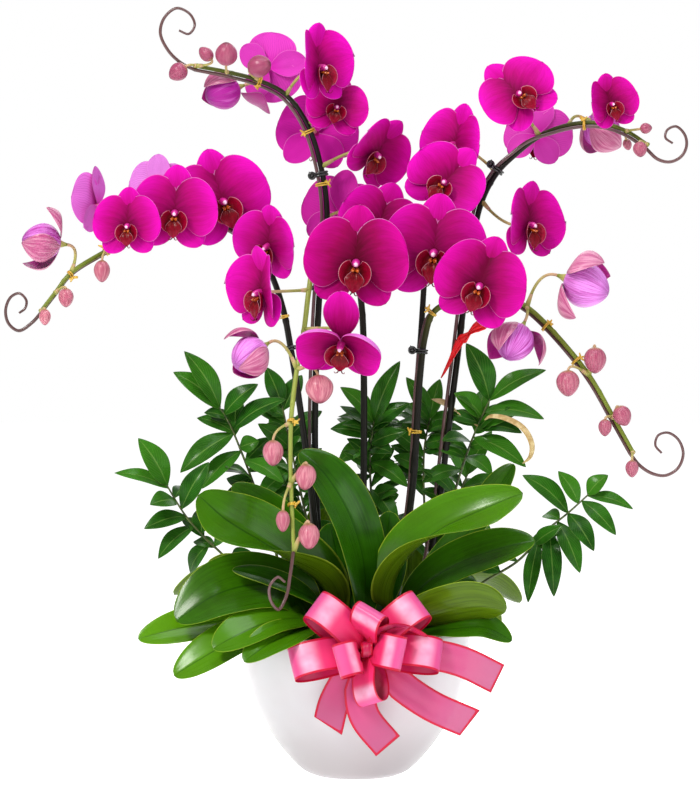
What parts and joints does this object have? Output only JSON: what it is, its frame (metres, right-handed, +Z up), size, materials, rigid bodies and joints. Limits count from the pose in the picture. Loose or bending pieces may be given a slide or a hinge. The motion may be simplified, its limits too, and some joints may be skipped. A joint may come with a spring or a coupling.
{
  "type": "potted moth orchid",
  "caption": "Potted moth orchid: arching spikes of magenta blooms and pink buds on curled wire stakes, over broad leaves and filler stems, in a white bowl pot with a ribbon bow.",
  "frame": {"origin": "centre of the pot's foot, on the surface it stands on", "axes": "+Z up, -Y towards the side with the bow, +X to the viewer's right when facing the bow"},
  "size_m": [0.6742, 0.3186, 0.7622],
  "materials": {
    "pot_glaze": "gloss",
    "potting_mix": "matte",
    "flower_stem": "satin",
    "wire_stake": "satin",
    "petal": "satin",
    "bud": "satin",
    "orchid_leaf": "satin",
    "filler_leaf": "satin",
    "ribbon": "satin"
  },
  "bodies": {
    "root": {"stem_a": "flower_stem", "stake_a": "wire_stake", "stem_b": "flower_stem", "stake_b": "wire_stake", "stem_c": "flower_stem", "stake_c": "wire_stake", "stem_d": "flower_stem", "stake_d": "wire_stake", "stem_e": "flower_stem", "stake_e": "wire_stake", "bloom_a1": "petal", "bloom_a2": "petal", "bloom_a3": "petal", "bloom_a4": "petal", "bloom_a5": "petal", "bloom_a6": "petal", "bloom_b1": "petal", "bloom_b2": "petal", "bloom_b3": "petal", "bloom_b4": "petal", "bloom_b5": "petal", "bloom_c1": "petal", "bloom_c2": "petal", "bloom_c3": "petal", "bloom_c4": "petal", "bloom_c5": "petal", "bloom_d1": "petal", "bloom_d2": "petal", "bloom_d3": "petal", "bloom_d4": "petal", "bloom_d5": "petal", "bloom_e1": "petal", "bloom_e2": "petal", "bloom_e3": "petal", "opening_a": "bud", "opening_b": "bud", "opening_c": "bud", "opening_d": "bud", "opening_e1": "bud", "opening_e2": "bud", "orchid_leaves_front_left": "orchid_leaf", "orchid_leaves_left": "orchid_leaf", "orchid_leaves_middle": "orchid_leaf", "orchid_leaves_right": "orchid_leaf", "orchid_leaves_back_left": "orchid_leaf", "orchid_leaves_back_right": "orchid_leaf", "filler_far_left": "filler_leaf", "filler_left": "filler_leaf", "filler_centre_left": "filler_leaf", "filler_centre": "filler_leaf", "filler_centre_right": "filler_leaf", "filler_right": "filler_leaf", "filler_far_right": "filler_leaf", "filler_rear_left": "filler_leaf", "filler_rear_right": "filler_leaf", "ribbon_bow": "ribbon", "pot": "pot_glaze", "potting_mix": "potting_mix"}
  },
  "joints": []
}
